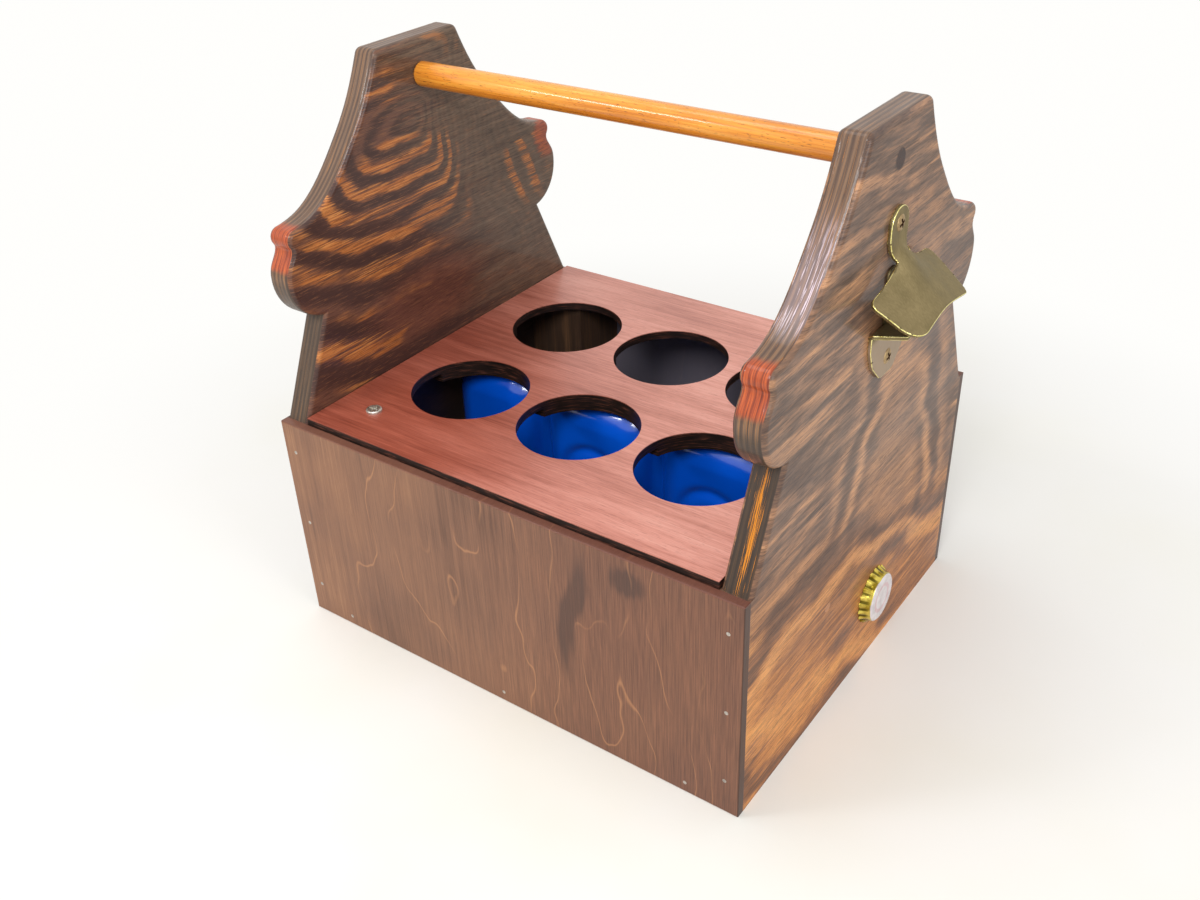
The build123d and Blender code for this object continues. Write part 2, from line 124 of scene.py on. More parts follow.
class Finish(Nodes):
    """One material: its shader's own settings, and the patterns that its values come from."""

    def __init__(self, name, **settings):
        self.material = bpy.data.materials.new(name)
        self.material.use_nodes = True
        super().__init__(self.material.node_tree)
        self.shader = self.tree.nodes["Principled BSDF"]
        for socket, value in settings.items():
            self.shader.inputs[socket.replace("_", " ")].default_value = value
        metres = self.add("ShaderNodeTexCoord", output="Object")
        self.place = self.add("ShaderNodeMapping", inputs={"Vector": metres, "Scale": (1 / millimetre,) * 3})
        self.x = self.add("ShaderNodeSeparateXYZ", inputs={0: self.place}, output=0)
        self.y = Value(self, self.x.socket.node.outputs[1])
        self.z = Value(self, self.x.socket.node.outputs[2])

    def grain(self, lengths, detail=2.0, roughness=0.5, distortion=0.0, move=(0, 0, 0)):
        """Noise whose lumps are of the given lengths along x, y and z, in millimetres."""
        lumps = self.add("ShaderNodeMapping", inputs={
            "Vector": self.place, "Location": move, "Scale": [1 / length for length in lengths]})
        return self.add("ShaderNodeTexNoise", inputs={
            "Vector": lumps, "Scale": 1.0, "Detail": detail, "Roughness": roughness,
            "Distortion": distortion})

    def rise(self, value, low, high, start=0.0, end=1.0):
        """A smooth step from start to end while the value goes from low to high."""
        return self.add("ShaderNodeMapRange", {"interpolation_type": "SMOOTHSTEP"},
                        {0: value, 1: low, 2: high, 3: start, 4: end})

    def outermost(self, value, edge):
        """One in the last half millimetre before an edge."""
        return self.rise(value, edge - 0.6, edge - 0.2)

    def reach(self, across, up):
        """How far a place is from the point where both values are nothing."""
        arrow = self.add("ShaderNodeCombineXYZ", inputs={0: across, 1: up})
        return self.add("ShaderNodeVectorMath", {"operation": "LENGTH"}, {0: arrow}, output="Value")

    def spot(self, across, up, centre, half):
        """One at a centre, falling to nothing at an ellipse of the given half sizes."""
        share = self.reach((across - centre[0]) / half[0], (up - centre[1]) / half[1])
        return self.rise(share, 1.0, 0.0)

    def ramp(self, value, *stops):
        return self.add("ShaderNodeValToRGB", {"stops": stops}, {0: value})

    def mix(self, share, under, over):
        return self.add("ShaderNodeMix", {"data_type": "RGBA"}, {0: share, 6: under, 7: over}, output=2)

    def bump(self, height, depth):
        """Height, from 0 to 1, is worth this depth in millimetres."""
        return self.add("ShaderNodeBump", inputs={
            "Strength": 1.0, "Distance": depth * millimetre, "Height": height})

    def wear(self, **sockets):
        """Links the varying values to the shader's sockets."""
        for name, value in sockets.items():
            self.link(value, self.shader.inputs[name.replace("_", " ")])
        return self.material


def dress(material, *names):
    """CAD pieces keep their shape and get a finish."""
    for name in names:
        for piece_slot in node[name].material_slots:
            piece_slot.material = material


def corners(name):
    """The lowest and the highest corner of a CAD piece, in millimetres."""
    return [[round(part / millimetre, 1) for part in corner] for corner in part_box(name)]


inner_x = corners("end_panel_right")[0][0]
outer_x = corners("end_panel_right")[1][0]
end_thickness = outer_x - inner_x
panel_height = corners("front_panel")[1][2]
shaded_level = 124
ply_width = 2.7
beak_start = 92
beak_foot = 205
beak_top = 232


def end_plywood(name, figure, rim_wear=None):
    """Stained fir plywood: a figured face on both sides, plies round the edge."""
    wood = Finish(name, Specular_IOR_Level=0.25, Coat_Roughness=0.12)
    depth = abs(wood.x) - inner_x
    fibre = wood.grain((3, 30, 0.8), detail=4, roughness=0.62)
    long_fibre = wood.grain((3, 110, 1.8), detail=3, roughness=0.6)
    # the plies, seen on the scroll's edge
    wander = wood.grain((60, 40, 40), detail=1) * 0.9
    ply = maths("FRACT", (depth + wander) / ply_width)
    crossing = wood.grain((0.4, 24, 24), detail=3, roughness=0.6)
    rim = wood.ramp(ply + (crossing - 0.5) * 0.8, (0.0, stain(82, 62, 52)), (0.35, stain(108, 84, 68)),
                    (0.5, stain(136, 104, 78)), (0.65, stain(110, 86, 70)), (1.0, stain(80, 62, 52)))
    spark = wood.rise(wood.grain((0.45, 30, 30), detail=2, move=(7, 3, 1)), 0.6, 0.68)
    rim = wood.mix(spark * 0.5, rim, stain(184, 126, 70))
    waist = wood.rise(wood.z, 204, 197)
    rim = wood.mix(waist * 0.55, rim, stain(54, 47, 38))
    if rim_wear:
        rim = rim_wear(wood, depth, crossing, rim)
    ring, face = figure(wood, fibre, long_fibre)
    # short dark and light flecks along the fibre
    fleck = wood.grain((3, 9, 0.55), detail=3, roughness=0.7, move=(1, 6, 2))
    face = wood.mix(wood.rise(fleck, 0.5, 0.36) * 0.55, face, stain(58, 38, 32))
    face = wood.mix(wood.rise(fleck, 0.54, 0.68) * 0.35, face, stain(172, 116, 74))
    half = end_thickness / 2
    face_share = wood.rise(abs(depth - half), half - 1.9, half - 1.3)
    below = wood.rise(wood.z, panel_height + 1, panel_height - 1)
    colour = wood.mix(wood.rise(face_share + below, 0, 1), rim, face)
    # painted shade inside the box, below the board's level
    inside = wood.rise(depth, 0.6, 0.2) * wood.rise(wood.z, shaded_level + 2, shaded_level - 2)
    colour = wood.mix(inside * 0.8, colour, stain(44, 38, 36))
    # the redder stain on the beaks
    ragged = (wood.grain((14, 14, 14), detail=3) - 0.5) * 6
    level = wood.z + ragged
    beak = (wood.rise(abs(wood.y) + ragged - face_share * 12, beak_start, beak_start + 5)
            * wood.rise(level, beak_foot, beak_foot + 4) * wood.rise(level, beak_top, beak_top - 4))
    red_fibre = wood.grain((0.6, 50, 14), detail=3, roughness=0.6)
    red = wood.ramp(red_fibre, (0.3, stain(104, 40, 26)), (0.45, stain(168, 68, 36)),
                    (0.66, stain(214, 102, 46)))
    glue_line = wood.rise(abs(ply - 0.5) + (crossing - 0.5) * 0.3, 0.36, 0.48)
    red = wood.mix(glue_line * 0.6, red, stain(84, 34, 28))
    colour = wood.mix(beak * 0.85, colour, red)
    gloss = wood.rise(wood.grain((50, 90, 30), detail=2), 0.3, 0.7, 0.36, 0.5)
    varnish = wood.rise(fibre, 0.2, 0.8, 0.45, 0.25) * wood.rise(wood.z, 70, 190, 0.3, 1.0)
    return wood.wear(Base_Color=colour, Roughness=gloss + fibre * 0.12, Coat_Weight=varnish,
                     Normal=wood.bump(fibre * 0.7 + ring * 0.3, 0.12))


def left_figure(wood, fibre, long_fibre):
    """Flattened growth rings round a knot that lies under the handle bar's left end."""
    knot_level = 257
    slant_level = 215
    ring_spread = 45
    ring_count = 6.6
    ring_phase = 0.37
    natural_base = 2.718
    sway = wood.grain((200, 46, 24), detail=3, roughness=0.45, move=(3, 0, 0)) - 0.5
    cloud = wood.grain((60, 40, 13), detail=3, move=(5, 2, 8)) - 0.5
    # flat under the knot, rising to the left edge, upright on the right
    rising = wood.rise(wood.y, -50, -110) * 14
    under = maths("SMOOTH_MAX", knot_level - wood.z + rising, (wood.z - knot_level) * 1.5, 8.0)
    slant = wood.rise(wood.y, 25, 65) * (wood.z - slant_level) * 0.45
    beside = maths("SMOOTH_MAX", (wood.y + slant + 6) * 2, (wood.y + 21) * -0.7, 10.0)
    away = maths("SMOOTH_MAX", under, beside, 26.0) - 1.5 + sway * 17
    # the rings widen outwards
    age = maths("LOGARITHM", maths("MAXIMUM", away, 0.0) / ring_spread + 1, natural_base) * ring_count
    ring = maths("FRACT", age + ring_phase)
    between_rings = wood.rise(abs(ring - 0.5) + (fibre - 0.5) * 0.5, 0.42, 0.1)
    dark = wood.mix(between_rings, stain(70, 47, 42), stain(106, 71, 57))
    fine_ring = maths("FRACT", age * 2 + sway * 3)
    olive = wood.ramp(abs(fine_ring - 0.5) * 0.3 + (long_fibre - 0.5) * 1.1 + 0.28,
                      (0.0, stain(84, 69, 57)), (0.4, stain(112, 94, 77)), (0.75, stain(134, 114, 93)))
    veil = wood.rise(wood.y + (wood.z - 200) * 0.35 + (long_fibre - 0.5) * 60, -20, 50)
    colour = wood.mix(veil * 0.85, dark, olive)
    reddish = wood.spot(wood.y, wood.z, (-15, 158), (72, 32))
    reddish = wood.rise(reddish + (fibre - 0.5) * 0.9, 0.1, 0.7)
    colour = wood.mix(reddish * 0.6, colour, stain(124, 74, 58))
    # where the rings show orange: under the knot, at the beak, low down and at the top
    under_knot = wood.spot(wood.y, wood.z, (-35, 216), (88, 56))
    under_knot = under_knot * wood.rise(wood.y + (wood.z - 240) * 0.48, 26, 10)
    at_beak = wood.spot(wood.y, wood.z, (80, 208), (34, 40))
    low = wood.spot(wood.y, wood.z, (-66, 149), (56, 30))
    top = wood.spot(wood.y, wood.z, (-24, 280), (36, 20))
    patch = wood.rise(under_knot * 1.3 + at_beak * 0.8 + low + top * 0.5 + cloud * 1.5, 0.16, 0.5)
    lens = wood.rise(ring + (fibre - 0.5) * 0.9, 0.22, 0.46)
    lens = lens * wood.rise(ring + (fibre - 0.5) * 0.45, 0.78, 0.68)
    broken = wood.rise(fibre + (long_fibre - 0.5) * 1.1, 0.3, 0.52)
    orange = wood.ramp(fibre, (0.3, stain(140, 80, 40)), (0.5, stain(190, 114, 56)),
                       (0.7, stain(226, 156, 88)))
    colour = wood.mix(lens * patch * broken * 0.95, colour, orange)
    far_tip = wood.spot(wood.y, wood.z, (100, 220), (20, 24))
    far_tip = wood.rise(far_tip + (fibre - 0.5) * 0.9, 0.2, 0.6)
    return lens, wood.mix(far_tip * 0.7, colour, stain(176, 80, 50))


def right_figure(wood, fibre, long_fibre):
    """A tall arch beside a flat dark eye low down, close level bands near the top."""
    eye_across = -60
    eye_level = 58
    eye_stretch = 2.3
    eye_radius = 25
    eye_ring = 28
    arch_across = 25
    arch_level = 60
    arch_squeeze = 0.42
    arch_radius = 120
    arch_ring = 45
    sway = wood.grain((200, 64, 30), detail=3, roughness=0.5, move=(9, 0, 0)) - 0.5
    # the eye's rings run on to the back, sinking
    sinking = maths("MAXIMUM", wood.y + 10, 0.0) * 0.42
    over_eye = wood.z - eye_level + sinking
    beside_eye = maths("MINIMUM", (wood.y - eye_across) / eye_stretch, 8.0)
    eye = wood.reach(beside_eye, maths("MAXIMUM", over_eye, over_eye * -0.7))
    arch = wood.reach((wood.y - arch_across) / arch_squeeze, wood.z - arch_level)
    high_up = wood.rise(wood.z + sinking, 88, 128)
    under_arch = wood.rise(arch, 116, 86) * high_up
    in_eye = wood.rise(eye, 22, 10)

    def bands(age):
        ring = maths("FRACT", age)
        first = wood.rise(abs(age), 1.1, 0.5) * 0.65 + 0.35
        return (wood.rise(abs(ring - 0.5) + (fibre - 0.5) * 0.3, 0.06, 0.5) - 0.45) * first

    low_age = (eye - eye_radius) / eye_ring + sway * 1.6
    age = maths("SMOOTH_MIN", low_age, (arch - arch_radius) / arch_ring + sway * 1.6, 0.5)
    broad = bands(low_age) * (1 - high_up) + bands(age) * high_up
    broad = broad * (1 - under_arch * 0.85) * (1 - in_eye * 0.8)
    close = wood.grain((200, 46, 6), detail=3, roughness=0.55, distortion=0.5, move=(2, 0, 0)) - 0.5
    high = wood.rise(age, 1.1, 2.0)
    level = broad * (1 - high * 0.9) * 0.5 + close * (high * 1.1 + 0.6) + (long_fibre - 0.5) * 0.45
    level = level - high * 0.04 + under_arch * 0.1 + 0.48
    colour = wood.ramp(level, (0.2, stain(88, 68, 58)), (0.38, stain(116, 90, 74)),
                       (0.52, stain(148, 111, 86)), (0.68, stain(186, 138, 102)),
                       (0.86, stain(212, 158, 114)))
    warm = wood.ramp(level, (0.2, stain(104, 66, 42)), (0.36, stain(160, 100, 56)),
                     (0.52, stain(212, 138, 70)), (0.86, stain(238, 164, 84)))
    colour = wood.mix(wood.rise(wood.z + (wood.y + 40) * 0.2, 145, 35) * 0.9, colour, warm)
    colour = wood.mix(wood.rise(fibre, 0.56, 0.38) * 0.3, colour, stain(96, 70, 58))
    filled = wood.spot(wood.y, wood.z, (-1, 277), (9, 6.5))
    colour = wood.mix(wood.rise(filled + (fibre - 0.5) * 0.9, 0.25, 0.6) * 0.7, colour, stain(56, 46, 42))
    pale_patch = wood.spot(wood.y, wood.z, (-35.5, 68.4), (4.2, 3.4))
    return broad, wood.mix(wood.rise(pale_patch, 0.15, 0.4) * 0.7, colour, stain(200, 144, 104))


def right_rim(wood, depth, crossing, rim):
    """Painted varnish glints and sheen on the rim over the front beak, bare amber wood under it."""
    in_front = wood.rise(wood.y, 0, -20)
    # painted highlights: white glints and a faint sheen on the varnished rim over the beak
    painted_glint = wood.rise(wood.grain((0.5, 15, 15), detail=3, roughness=0.6, move=(3, 1, 4)), 0.54, 0.62)
    painted_sheen = wood.rise(wood.z, 229, 238) * wood.rise(wood.z, 276, 244) * in_front
    rim = wood.mix(painted_sheen * (painted_glint * 0.75 + 0.16), rim, stain(232, 212, 222))
    rim = wood.mix(wood.rise(wood.z, 200, 190) * 0.55, rim, stain(40, 32, 27))
    amber = wood.spot(depth + (wood.z - 158) * 0.04, wood.z, (8.2, 154), (5.2, 46))
    amber = wood.rise(amber + (crossing - 0.5) * 4.0, 0.7, 0.92) * in_front
    return wood.mix(amber * 0.9, rim, stain(222, 136, 28))


dress(end_plywood("left_end_fir", left_figure), "end_panel_left")
dress(end_plywood("right_end_fir", right_figure, right_rim), "end_panel_right")


# FRONT AND BACK PANELS
# Thin birch plywood with upright grain, nailed over the box's long sides. The
# stain leaves light growth lines and cloudy darker places.
panel_inner_y = corners("back_panel")[0][1]
line_spacing = 36
birch = Finish("panel_birch", Specular_IOR_Level=0.2, Coat_Roughness=0.25)
fibre = birch.grain((0.6, 3, 26), detail=4, roughness=0.62)
stripe = birch.grain((3.2, 60, 160), detail=3, roughness=0.55, move=(6, 0, 2))
pore = birch.rise(birch.grain((0.35, 2, 5), detail=2, roughness=0.5), 0.6, 0.72)
cloud = birch.grain((60, 200, 90), detail=3)
sway = birch.grain((46, 200, 110), detail=3, roughness=0.42, move=(2, 0, 5))
line = maths("FRACT", sway * 5 + birch.x / line_spacing)
light_line = birch.rise(abs(line - 0.5), 0.035, 0.0)
light_line = light_line * birch.rise(birch.grain((50, 90, 40), detail=1), 0.4, 0.6)
colour = birch.ramp(cloud * 0.45 + fibre * 0.3 + stripe * 0.25, (0.36, stain(100, 68, 51)),
                    (0.45, stain(126, 88, 67)), (0.55, stain(145, 103, 77)), (0.66, stain(174, 128, 95)))
# the right end is redder, and darker there as painted shade
redder_and_shaded = birch.rise(birch.x + (cloud - 0.5) * 120, -60, 90)
red_brown = birch.ramp(fibre, (0.32, stain(84, 55, 45)), (0.68, stain(136, 90, 70)))
colour = birch.mix(redder_and_shaded * 0.75, colour, red_brown)
# a dark streak that leans, and the knot beside it
streak = birch.spot(birch.x + (sway - 0.5) * 40 - (birch.z - 85) * 0.16, birch.z, (50, 78), (10, 60))
knot = birch.spot(birch.x, birch.z, (80, 112), (15, 13))
dark_share = birch.rise(streak + knot + (stripe - 0.5) * 1.2, 0.1, 0.65)
colour = birch.mix(dark_share * 0.7, colour, stain(72, 52, 46))
colour = birch.mix(light_line * 0.42, colour, stain(206, 146, 100))
colour = birch.mix(pore * 0.3, colour, stain(90, 62, 48))
# painted shade inside the box: below the board's level the inner face turns a dim cool grey
inner_face = birch.rise(abs(birch.y), panel_inner_y + 0.4, panel_inner_y + 0.1)
inside = inner_face * birch.rise(birch.z, shaded_level, shaded_level - 2)
colour = birch.mix(inside * 0.9, colour, stain(112, 110, 122))
colour = birch.mix(birch.outermost(abs(birch.x), outer_x) * 0.75, colour, stain(48, 34, 30))
colour = birch.mix(birch.outermost(birch.z, panel_height) * 0.7, colour, stain(104, 62, 52))
panel_birch = birch.wear(
    Base_Color=colour, Roughness=birch.rise(cloud, 0.3, 0.7, 0.4, 0.55),
    Coat_Weight=birch.rise(fibre, 0.2, 0.8, 0.3, 0.15),
    Normal=birch.bump(fibre * 0.6 + (1 - pore) * 0.4, 0.06))
dress(panel_birch, "front_panel", "back_panel")


# BOTTOM BOARD AND CORNER BLOCKS
# The bottom is bare 12 mm plywood and the blocks are pine offcuts: inside the box
# they are only wiped with the same stain.
def coarse_finish(name, lumps, shades, gloss, depth):
    """A matt surface whose colour, gloss and relief follow one coarse noise."""
    coarse = Finish(name)
    noise = coarse.grain(lumps, detail=4, roughness=0.6)
    return coarse.wear(Base_Color=coarse.ramp(noise, *shades), Normal=coarse.bump(noise, depth),
                       Roughness=coarse.rise(noise, 0.2, 0.8, *gloss))


wiped_shades = ((0.3, stain(30, 24, 21)), (0.55, stain(46, 37, 31)), (0.75, stain(70, 54, 42)))
dress(coarse_finish("inner_plywood", (26, 0.9, 3), wiped_shades, (0.5, 0.7), 0.08), "bottom_board")

pine = Finish("block_pine")
fibre = pine.grain((1.1, 1.1, 26), detail=4, roughness=0.6)
ring = pine.grain((5, 9, 90), detail=2)
colour = pine.ramp(fibre * 0.5 + ring * 0.5, (0.3, stain(44, 31, 24)), (0.5, stain(76, 54, 38)),
                   (0.7, stain(116, 82, 54)))
block_pine = pine.wear(Base_Color=colour, Roughness=pine.rise(fibre, 0.2, 0.8, 0.5, 0.7),
                       Normal=pine.bump(fibre, 0.08))
for corner in ("front_left", "front_right", "back_left", "back_right"):
    dress(block_pine, f"corner_block_{corner}")


# BOTTLE BOARD AND ITS STRIP
# Loose lauan plywood, stained mahogany red and varnished, with six sawn holes.
# The plies stay dark in the holes and along the edges.
board_face = corners("top_board")[1][2]
lauan = Finish("board_lauan", Specular_IOR_Level=0.3, Coat_Roughness=0.25)
fibre = lauan.grain((22, 0.8, 3), detail=4, roughness=0.66)
streak = lauan.grain((90, 3.5, 200), detail=3, roughness=0.6, move=(1, 4, 0))
pore = lauan.rise(lauan.grain((5, 0.4, 2), detail=2), 0.58, 0.7)
cloud = lauan.grain((110, 34, 200), detail=3)
shade = cloud * 0.35 + fibre * 0.35 + streak * 0.3
# painted light and shade: the deep ramp is the board in the left end's shadow, the pale ramp the board in
# light, blended from the front left to the back right
deep = lauan.ramp(shade, (0.34, stain(112, 48, 34)), (0.46, stain(148, 72, 54)),
                  (0.56, stain(172, 90, 70)), (0.7, stain(200, 116, 94)))
pale = lauan.ramp(shade, (0.34, stain(176, 104, 88)), (0.46, stain(208, 138, 120)),
                  (0.56, stain(228, 160, 144)), (0.7, stain(240, 184, 168)))
painted_light_share = lauan.rise(lauan.x + lauan.y * 0.9 + (cloud - 0.5) * 160, -170, 110)
colour = lauan.mix(painted_light_share * 0.95, deep, pale)
colour = lauan.mix(pore * 0.35, colour, stain(122, 56, 42))
top_face = lauan.outermost(lauan.z, board_face)
sawn = lauan.grain((9, 9, 0.5), detail=3)
sawn_colour = lauan.ramp(sawn, (0.35, stain(22, 17, 15)), (0.55, stain(44, 30, 26)),
                         (0.72, stain(110, 66, 52)))
board_lauan = lauan.wear(
    Base_Color=lauan.mix(top_face, sawn_colour, colour), Roughness=lauan.rise(cloud, 0.3, 0.7, 0.36, 0.5),
    Coat_Weight=top_face * 0.5, Normal=lauan.bump(fibre * 0.6 + (1 - pore) * 0.4, 0.07))
dress(board_lauan, "top_board", "board_strip")


# HANDLE BAR
# A half-inch hardwood dowel with a golden stain, screwed between the ends.
dowel = Finish("bar_dowel", Specular_IOR_Level=0.3, Coat_Roughness=0.1)
fibre = dowel.grain((30, 0.8, 0.8), detail=4, roughness=0.6)
cloud = dowel.grain((70, 9, 9), detail=2)
fleck = dowel.rise(dowel.grain((3.2, 0.45, 0.45), detail=2, move=(4, 2, 6)), 0.62, 0.7)
colour = dowel.ramp(fibre * 0.55 + cloud * 0.45, (0.3, stain(186, 100, 28)), (0.46, stain(224, 140, 44)),
                    (0.58, stain(240, 164, 62)), (0.72, stain(248, 190, 92)))
bar_dowel = dowel.wear(
    Base_Color=dowel.mix(fleck * 0.7, colour, stain(116, 54, 16)),
    Roughness=dowel.rise(cloud, 0.3, 0.7, 0.28, 0.42), Coat_Weight=dowel.rise(fibre, 0.2, 0.8, 0.7, 0.5),
    Normal=dowel.bump(fibre * 0.7 - fleck * 0.5, 0.05))
dress(bar_dowel, "handle_bar")


# FILLER PLUGS
# Dark wood filler, sanded flush over the handle's screws and over the magnet.
filler_shades = ((0.3, stain(46, 34, 32)), (0.55, stain(66, 50, 46)), (0.75, stain(92, 66, 58)))
wood_filler = coarse_finish("wood_filler", (1.2, 1.2, 1.2), filler_shades, (0.45, 0.65), 0.1)
dress(wood_filler, "handle_plug_left", "handle_plug_right", "magnet_plug")


# BRADS, SCREWS AND MAGNET
# Bright steel brads and pan-head screws, and a nickelled magnet. The opener's own
# screws are brass.
def plain_metal(name, pale, deep, roughness):
    """Scratched and slightly tarnished metal."""
    metal = Finish(name, Metallic=1.0)
    scratch = metal.grain((3, 0.3, 0.3), detail=3)
    tarnish = metal.grain((2.2, 2.2, 2.2), detail=3)
    colour = metal.ramp(scratch * 0.4 + tarnish * 0.6, (0.35, deep), (0.6, pale))
    gloss = metal.rise(tarnish, 0.3, 0.7, roughness, roughness + 0.15)
    return metal.wear(Base_Color=colour, Roughness=gloss, Normal=metal.bump(scratch, 0.02))


brad_steel = plain_metal("brad_steel", stain(214, 208, 200), stain(150, 144, 138), 0.3)
screw_steel = plain_metal("screw_steel", stain(214, 210, 202), stain(166, 160, 150), 0.36)
screw_brass = plain_metal("screw_brass", stain(196, 170, 128), stain(142, 116, 80), 0.35)
magnet_nickel = plain_metal("magnet_nickel", stain(204, 200, 190), stain(150, 146, 138), 0.2)
dress(brad_steel, "front_brads", "back_brads")
dress(screw_steel, "board_screw_front", "board_screw_back", "handle_screw_left", "handle_screw_right")
dress(screw_brass, "opener_screw_top", "opener_screw_bottom")
dress(magnet_nickel, "cap_magnet")


# BOTTLE OPENER
# Pressed brass sheet, chemically darkened and then buffed bright along its edges.
# The upper piece is an ear that turns out into a domed hood; the lower one is a
# shield whose top turns out into the catch shelf, with a tooth bent up at its tip.
def middle(name, axis):
    """Where the middle of a CAD piece is along an axis, in millimetres."""
    low, high = corners(name)
    return (low[axis] + high[axis]) / 2


opener_y = middle("bottle_opener", 1)
opener_foot = corners("bottle_opener")[0][2]
ear_top = corners("bottle_opener")[1][2]
opener_sheet = 1.8
sheet_middle = opener_sheet / 2
wall_x = outer_x + sheet_middle


def flat_outline(corner_list):
    """A flat face through corners given as x, y and the radius of the corner's round."""
    shape = bmesh.new()
    points = [shape.verts.new((x, y, 0)) for x, y, _ in corner_list]
    shape.faces.new(points)
    for point, (_, _, radius) in zip(points, corner_list):
        if radius:
            ways = [(edge.other_vert(point).co - point.co).normalized() for edge in point.link_edges]
            slide = radius / tan(ways[0].angle(ways[1]) / 2)
            bmesh.ops.bevel(shape, geom=[point], offset=slide, offset_type="OFFSET", affect="VERTICES",
                            segments=10, profile=0.5, material=-1)
    return shape


def slice_up(shape, axis, step):
    """Cuts every face across an axis at even steps, so that the sheet can bend."""
    places = [vert.co[axis] for vert in shape.verts]
    normal = Vector((0, 0, 0))
    normal[axis] = 1
    low, high = min(places), max(places)
    for index in range(1, int((high - low) / step)):
        bmesh.ops.bisect_plane(shape, geom=shape.verts[:] + shape.edges[:] + shape.faces[:], dist=1e-5,
                               plane_co=normal * (low + index * step), plane_no=normal)


def finished(name, shape, materials, body, stood_for=()):
    """Turns a shape in millimetres into a piece that rides on its body."""
    bmesh.ops.scale(shape, vec=(millimetre,) * 3, verts=shape.verts)
    mesh = bpy.data.meshes.new(name)
    shape.to_mesh(mesh)
    shape.free()
    mesh.shade_smooth()
    for material in materials:
        mesh.materials.append(material)
    piece = bpy.data.objects.new(name, mesh)
    bpy.context.scene.collection.objects.link(piece)
    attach(piece, body)
    if stood_for:
        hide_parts(*stood_for)
    return piece


def add_wall(piece, thickness, side):
    """Gives a sheet its thickness: 0 is both ways from its middle, -1 is inwards."""
    wall = piece.modifiers.new("wall", "SOLIDIFY")
    wall.thickness = thickness * millimetre
    wall.offset = side


def pressed(name, half, other_half, steps, point, thickness, edge_round, edge_finish, stood_for=()):
    """Cuts a blank from two half outlines, bends it point by point, and breaks its rims."""
    blank = flat_outline(half + [(x, -y, radius) for x, y, radius in reversed(other_half)])
    for axis, step in enumerate(steps):
        slice_up(blank, axis, step)
    for vert in blank.verts:
        vert.co = point(vert.co.x, vert.co.y)
    piece = finished(name, blank, (opener_brass, edge_finish), "caddy", stood_for)
    add_wall(piece, thickness, 0)
    rim = piece.modifiers.new("rim", "BEVEL")
    rim.width = edge_round * millimetre
    rim.segments = 3
    rim.material = 1
    rim.use_clamp_overlap = False
    rim.limit_method = "ANGLE"
    rim.angle_limit = radians(50)


brass = Finish("opener_brass", Metallic=1.0)
brushed = brass.grain((1.2, 0.4, 7), detail=4, roughness=0.6)
patina = brass.grain((9, 9, 9), detail=4)
colour = brass.ramp(brushed * 0.5 + patina * 0.5, (0.34, stain(120, 107, 75)), (0.5, stain(136, 122, 88)),
                    (0.66, stain(152, 137, 101)))
# painted light: the shield's face below the shelf is painted a paler grey, lit below the hood's shadow
shield_painted_light = brass.rise(brass.z, 203, 199)
colour = brass.mix(shield_painted_light * 0.75, colour, stain(184, 164, 146))
opener_brass = brass.wear(Base_Color=colour, Roughness=brass.rise(patina, 0.3, 0.7, 0.5, 0.64),
                          Normal=brass.bump(brushed, 0.02))


def even_finish(name, lump, deep, pale, gloss, **settings):
    """A plain surface with one faint noise in its colour, gloss and relief."""
    even = Finish(name, **settings)
    smudge = even.grain((lump, lump, lump), detail=3)
    return even.wear(Base_Color=even.ramp(smudge, deep, pale), Normal=even.bump(smudge, 0.03),
                     Roughness=even.rise(smudge, 0.3, 0.7, *gloss))


buffed_brass = even_finish("buffed_brass", 1.6, (0.3, stain(214, 200, 110)), (0.6, stain(252, 242, 170)),
                           (0.2, 0.36), Metallic=1.0)

ear_half = 9.0
neck_top = 246.5
neck_half = 5.6
neck_start = -10.5
neck_end = 1.5
neck_flare = 0.3
hood_root_x = 141.6
hood_reach = 21.6
root_half = 29.9
lip_half = 25.5
root_crown = 233.5
lip_crown = 216.3
crown_bow = 2.6
root_drop = 6.7
lip_drop = 4.9
ridge = 7.3
dome_swell = 6.0
dome_half = 9.5
dome_reach = 0.4
hood_lean = 0.07
lean_level = 220.0
hood_shift = 1.2


def crown_level(t, across):
    """The hood's level before its sides drop, with the dome's swell at its root."""
    swell = dome_swell * exp(-(across / dome_half) ** 2 - (t / dome_reach) ** 2)
    return root_crown + (lip_crown - root_crown) * t + crown_bow * t + swell


def neck_point(reach, across):
    """The neck swings off the wall and meets the hood at the hood's own slope."""
    down_at_wall = 12
    down_at_hood = 7.6
    out_at_hood = 9.6
    s = (reach - neck_start) / (neck_end - neck_start)
    from_wall = (1 + 2 * s) * (1 - s) ** 2
    wall_slope = s * (1 - s) ** 2
    to_hood = s * s * (3 - 2 * s)
    hood_slope = s * s * (s - 1)
    x = from_wall * wall_x + to_hood * (hood_root_x + neck_end) + hood_slope * out_at_hood
    z = (from_wall * neck_top - wall_slope * down_at_wall
         + to_hood * crown_level(neck_end / hood_reach, across) - hood_slope * down_at_hood)
    return x, z, to_hood


def hood_point(reach, across):
    """Where a point of the flat hood blank goes when it is pressed."""
    if reach <= neck_start:
        return wall_x, opener_y + across, neck_top + neck_start - reach
    t = max(reach, 0) / hood_reach
    half = root_half + (lip_half - root_half) * t
    drop = root_drop + (lip_drop - root_drop) * t
    drop = drop * (hypot(across, ridge) - ridge) / (hypot(half, ridge) - ridge)
    x = hood_root_x + reach
    z = crown_level(t, across) - crown_bow * t ** 2
    share = 1.0
    if reach < neck_end and abs(across) < neck_half + (neck_end - reach) * neck_flare + 0.1:
        x, z, share = neck_point(reach, across)
    lean = hood_lean * share
    up = z - drop * share - sheet_middle * share - lean_level
    y = opener_y + hood_shift * share + across * cos(lean) - up * sin(lean)
    return x, y, lean_level + across * sin(lean) + up * cos(lean)


